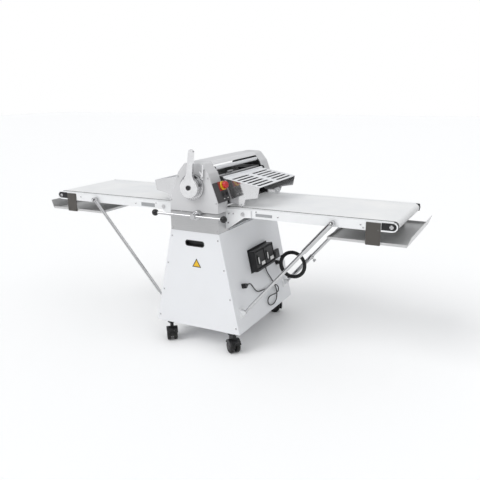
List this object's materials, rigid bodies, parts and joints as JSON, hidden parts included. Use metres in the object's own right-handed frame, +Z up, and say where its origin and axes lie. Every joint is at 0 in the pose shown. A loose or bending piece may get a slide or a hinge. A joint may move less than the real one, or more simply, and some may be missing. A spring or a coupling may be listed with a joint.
{
  "type": "dough sheeter",
  "caption": "Floor-standing reversible dough sheeter: tapered cabinet on casters, two rollers, folding belt conveyors with trays and guards.",
  "frame": {"origin": "centre of the footprint's bounding box on the floor, between the wheels", "axes": "+X along the conveyors to the side with the foot pedals, +Y to the rear, +Z up; the operator stands at -Y"},
  "size_m": [2.34, 0.8272, 1.1571],
  "materials": {
    "black_plastic": "moulded, fine grain",
    "black_rubber": "matte",
    "bright_steel": "machined",
    "brushed_stainless": "vertically brushed",
    "conveyor_belt": "coated cloth",
    "cord_rubber": "semi-matte sheath",
    "motor_casting": "painted casting",
    "pale_housing_paint": "satin powder coat",
    "polished_chrome": "polished",
    "pulley_aluminium": "turned",
    "red_plastic": "glossy",
    "strut_paint": "smooth powder coat",
    "switch_box_plastic": "satin moulding",
    "wheel_rubber": "hard tread",
    "white_paint": "smooth powder coat"
  },
  "bodies": {
    "machine": {"cabinet_shell": "white_paint", "cabinet_panels": "white_paint", "panel_grips": "black_plastic", "machine_screws": "bright_steel", "head_frame": "white_paint", "head_columns": "brushed_stainless", "front_housing": "pale_housing_paint", "rear_housing": "pale_housing_paint", "hood": "pale_housing_paint", "index_ring": "bright_steel", "switch_box": "switch_box_plastic", "lower_scrapers": "brushed_stainless", "drive_motor": "motor_casting", "drive_belt": "black_rubber", "pedal_box": "black_plastic", "pedal_cord": "cord_rubber", "pedal_connector": "black_plastic", "sockets": "black_plastic", "mains_coil": "cord_rubber", "gussets": "white_paint", "strut_brackets": "white_paint"},
    "thickness_lever": {"thickness_lever": "polished_chrome"},
    "stop_lever": {"stop_lever": "polished_chrome"},
    "reversing_handle": {"reversing_handle": "polished_chrome"},
    "emergency_button": {"emergency_button": "red_plastic"},
    "start_button": {"start_button": "black_plastic"},
    "stop_button": {"stop_button": "black_plastic"},
    "roller_carriage": {"roller_bearings": "bright_steel", "upper_scrapers": "white_paint"},
    "upper_roller": {"upper_roller": "bright_steel"},
    "lower_roller": {"lower_roller": "bright_steel"},
    "motor_pulley": {"motor_pulley": "pulley_aluminium"},
    "left_pedal": {"left_pedal": "black_plastic"},
    "right_pedal": {"right_pedal": "black_plastic"},
    "left_guard": {"left_guard": "white_paint"},
    "left_conveyor": {"left_conveyor_frame": "white_paint", "left_belt": "conveyor_belt", "left_tray": "brushed_stainless"},
    "left_drive_roller": {"left_drive_roller": "bright_steel"},
    "left_end_roller": {"left_end_roller": "bright_steel"},
    "left_strut_rods": {"left_strut_rods": "bright_steel"},
    "left_strut_tubes": {"left_strut_tubes": "strut_paint"},
    "front_left_caster": {"front_left_caster": "black_plastic"},
    "front_left_wheels": {"front_left_wheels": "wheel_rubber"},
    "rear_left_caster": {"rear_left_caster": "black_plastic"},
    "rear_left_wheels": {"rear_left_wheels": "wheel_rubber"},
    "front_left_brake_pedal": {"front_left_brake_pedal": "black_plastic"},
    "right_guard": {"right_guard": "white_paint"},
    "right_conveyor": {"right_conveyor_frame": "white_paint", "right_belt": "conveyor_belt", "right_tray": "brushed_stainless"},
    "right_drive_roller": {"right_drive_roller": "bright_steel"},
    "right_end_roller": {"right_end_roller": "bright_steel"},
    "right_strut_rods": {"right_strut_rods": "bright_steel"},
    "right_strut_tubes": {"right_strut_tubes": "strut_paint"},
    "front_right_caster": {"front_right_caster": "black_plastic"},
    "front_right_wheels": {"front_right_wheels": "wheel_rubber"},
    "rear_right_caster": {"rear_right_caster": "black_plastic"},
    "rear_right_wheels": {"rear_right_wheels": "wheel_rubber"},
    "front_right_brake_pedal": {"front_right_brake_pedal": "black_plastic"}
  },
  "joints": [
    {"name": "thickness_lever_turn", "type": "hinge", "parent": "machine", "child": "thickness_lever", "pos_m": [0, -0.3406, 0.95], "axis": [0, -1, 0], "range_deg": [-52, 52]},
    {"name": "roller_carriage_lift", "type": "slide", "parent": "machine", "child": "roller_carriage", "axis": [0, 0, 1], "range_m": [-0.019, 0.019]},
    {"name": "lower_roller_spin", "type": "hinge", "parent": "machine", "child": "lower_roller", "pos_m": [0, 0.0354, 0.793], "axis": [0, 1, 0], "continuous": true},
    {"name": "upper_roller_spin", "type": "hinge", "parent": "roller_carriage", "child": "upper_roller", "pos_m": [0, 0.0354, 0.8965], "axis": [0, 1, 0], "continuous": true},
    {"name": "motor_pulley_spin", "type": "hinge", "parent": "machine", "child": "motor_pulley", "pos_m": [0, 0.3354, 0.25], "axis": [0, 1, 0], "continuous": true},
    {"name": "stop_lever_turn", "type": "hinge", "parent": "machine", "child": "stop_lever", "pos_m": [0.064, -0.3406, 1.003], "axis": [0, -1, 0], "range_deg": [-12, 12]},
    {"name": "reversing_handle_turn", "type": "hinge", "parent": "machine", "child": "reversing_handle", "pos_m": [0.032, -0.3406, 0.796], "axis": [0, -1, 0], "range_deg": [-18, 18]},
    {"name": "emergency_button_press", "type": "slide", "parent": "machine", "child": "emergency_button", "axis": [-0.9373, 0, -0.3485], "range_m": [0, 0.005]},
    {"name": "start_button_press", "type": "slide", "parent": "machine", "child": "start_button", "axis": [-0.9373, 0, -0.3485], "range_m": [0, 0.003], "stiffness_N_per_m": 250, "springref_m": -0.002},
    {"name": "stop_button_press", "type": "slide", "parent": "machine", "child": "stop_button", "axis": [-0.9373, 0, -0.3485], "range_m": [0, 0.003], "stiffness_N_per_m": 250, "springref_m": -0.002},
    {"name": "left_pedal_press", "type": "hinge", "parent": "machine", "child": "left_pedal", "pos_m": [0.23214, 0.0354, 0.52053], "axis": [0, 1, 0], "range_deg": [0, 11], "stiffness_Nm_per_rad": 4, "springref_deg": -3.44},
    {"name": "right_pedal_press", "type": "hinge", "parent": "machine", "child": "right_pedal", "pos_m": [0.23214, 0.0354, 0.52053], "axis": [0, 1, 0], "range_deg": [0, 11], "stiffness_Nm_per_rad": 4, "springref_deg": -3.44},
    {"name": "right_fold", "type": "hinge", "parent": "machine", "child": "right_conveyor", "pos_m": [0.262, 0.0354, 0.802], "axis": [0, -1, 0], "range_deg": [0, 75]},
    {"name": "right_guard_lift", "type": "hinge", "parent": "machine", "child": "right_guard", "pos_m": [0.116, 0.0354, 0.987], "axis": [0, -1, 0], "range_deg": [0, 100]},
    {"name": "right_drive_roller_spin", "type": "hinge", "parent": "right_conveyor", "child": "right_drive_roller", "pos_m": [0.148, 0.0354, 0.8095], "axis": [0, 1, 0], "continuous": true},
    {"name": "right_end_roller_spin", "type": "hinge", "parent": "right_conveyor", "child": "right_end_roller", "pos_m": [1.078, 0.0354, 0.8095], "axis": [0, 1, 0], "continuous": true},
    {"name": "right_strut_swing", "type": "hinge", "parent": "machine", "child": "right_strut_rods", "pos_m": [0.2784, 0.0354, 0.235], "axis": [0, -1, 0], "range_deg": [0, 35.02]},
    {"name": "right_strut_slide", "type": "slide", "parent": "right_strut_rods", "child": "right_strut_tubes", "axis": [0.6576, 0, 0.7533], "range_m": [0, 0.31368]},
    {"name": "front_right_swivel", "type": "hinge", "parent": "machine", "child": "front_right_caster", "pos_m": [0.208, -0.3006, 0.12], "axis": [0, 0, 1], "continuous": true},
    {"name": "front_right_roll", "type": "hinge", "parent": "front_right_caster", "child": "front_right_wheels", "pos_m": [0.22792, -0.31731, 0.0375], "axis": [-0.6428, -0.766, 0], "continuous": true},
    {"name": "front_right_brake", "type": "hinge", "parent": "front_right_caster", "child": "front_right_brake_pedal", "pos_m": [0.25971, -0.34399, 0.0675], "axis": [0.6428, 0.766, 0], "range_deg": [0, 12]},
    {"name": "rear_right_swivel", "type": "hinge", "parent": "machine", "child": "rear_right_caster", "pos_m": [0.208, 0.3714, 0.12], "axis": [0, 0, 1], "continuous": true},
    {"name": "rear_right_roll", "type": "hinge", "parent": "rear_right_caster", "child": "rear_right_wheels", "pos_m": [0.18225, 0.36778, 0.0375], "axis": [-0.1392, 0.9903, 0], "continuous": true},
    {"name": "left_fold", "type": "hinge", "parent": "machine", "child": "left_conveyor", "pos_m": [-0.262, 0.0354, 0.802], "axis": [0, 1, 0], "range_deg": [0, 75]},
    {"name": "left_guard_lift", "type": "hinge", "parent": "machine", "child": "left_guard", "pos_m": [-0.116, 0.0354, 0.987], "axis": [0, 1, 0], "range_deg": [0, 100]},
    {"name": "left_drive_roller_spin", "type": "hinge", "parent": "left_conveyor", "child": "left_drive_roller", "pos_m": [-0.148, 0.0354, 0.8095], "axis": [0, 1, 0], "continuous": true},
    {"name": "left_end_roller_spin", "type": "hinge", "parent": "left_conveyor", "child": "left_end_roller", "pos_m": [-1.078, 0.0354, 0.8095], "axis": [0, 1, 0], "continuous": true},
    {"name": "left_strut_swing", "type": "hinge", "parent": "machine", "child": "left_strut_rods", "pos_m": [-0.2784, 0.0354, 0.235], "axis": [0, 1, 0], "range_deg": [0, 35.02]},
    {"name": "left_strut_slide", "type": "slide", "parent": "left_strut_rods", "child": "left_strut_tubes", "axis": [-0.6576, 0, 0.7533], "range_m": [0, 0.31368]},
    {"name": "front_left_swivel", "type": "hinge", "parent": "machine", "child": "front_left_caster", "pos_m": [-0.208, -0.3006, 0.12], "axis": [0, 0, 1], "continuous": true},
    {"name": "front_left_roll", "type": "hinge", "parent": "front_left_caster", "child": "front_left_wheels", "pos_m": [-0.19199, -0.32109, 0.0375], "axis": [-0.788, -0.6157, 0], "continuous": true},
    {"name": "front_left_brake", "type": "hinge", "parent": "front_left_caster", "child": "front_left_brake_pedal", "pos_m": [-0.16644, -0.35379, 0.0675], "axis": [0.788, 0.6157, 0], "range_deg": [0, 12]},
    {"name": "rear_left_swivel", "type": "hinge", "parent": "machine", "child": "rear_left_caster", "pos_m": [-0.208, 0.3714, 0.12], "axis": [0, 0, 1], "continuous": true},
    {"name": "rear_left_roll", "type": "hinge", "parent": "rear_left_caster", "child": "rear_left_wheels", "pos_m": [-0.234, 0.3714, 0.0375], "axis": [0, 1, 0], "continuous": true}
  ],
  "couplings": [
    {"joint": "roller_carriage_lift", "follows": "thickness_lever_turn", "m_per_rad": -0.020935},
    {"joint": "upper_roller_spin", "follows": "lower_roller_spin", "ratio": -1},
    {"joint": "motor_pulley_spin", "follows": "lower_roller_spin", "ratio": 1.4},
    {"joint": "right_guard_lift", "follows": "right_fold", "ratio": 1.3333},
    {"joint": "right_drive_roller_spin", "follows": "lower_roller_spin", "ratio": 1.7872},
    {"joint": "right_end_roller_spin", "follows": "lower_roller_spin", "ratio": 1.7872},
    {"joint": "right_strut_swing", "follows": "right_fold", "ratio": 0.46694},
    {"joint": "right_strut_slide", "follows": "right_fold", "m_per_rad": 0.23963},
    {"joint": "left_guard_lift", "follows": "left_fold", "ratio": 1.3333},
    {"joint": "left_drive_roller_spin", "follows": "lower_roller_spin", "ratio": 1.7872},
    {"joint": "left_end_roller_spin", "follows": "lower_roller_spin", "ratio": 1.7872},
    {"joint": "left_strut_swing", "follows": "left_fold", "ratio": 0.46694},
    {"joint": "left_strut_slide", "follows": "left_fold", "m_per_rad": 0.23963}
  ]
}
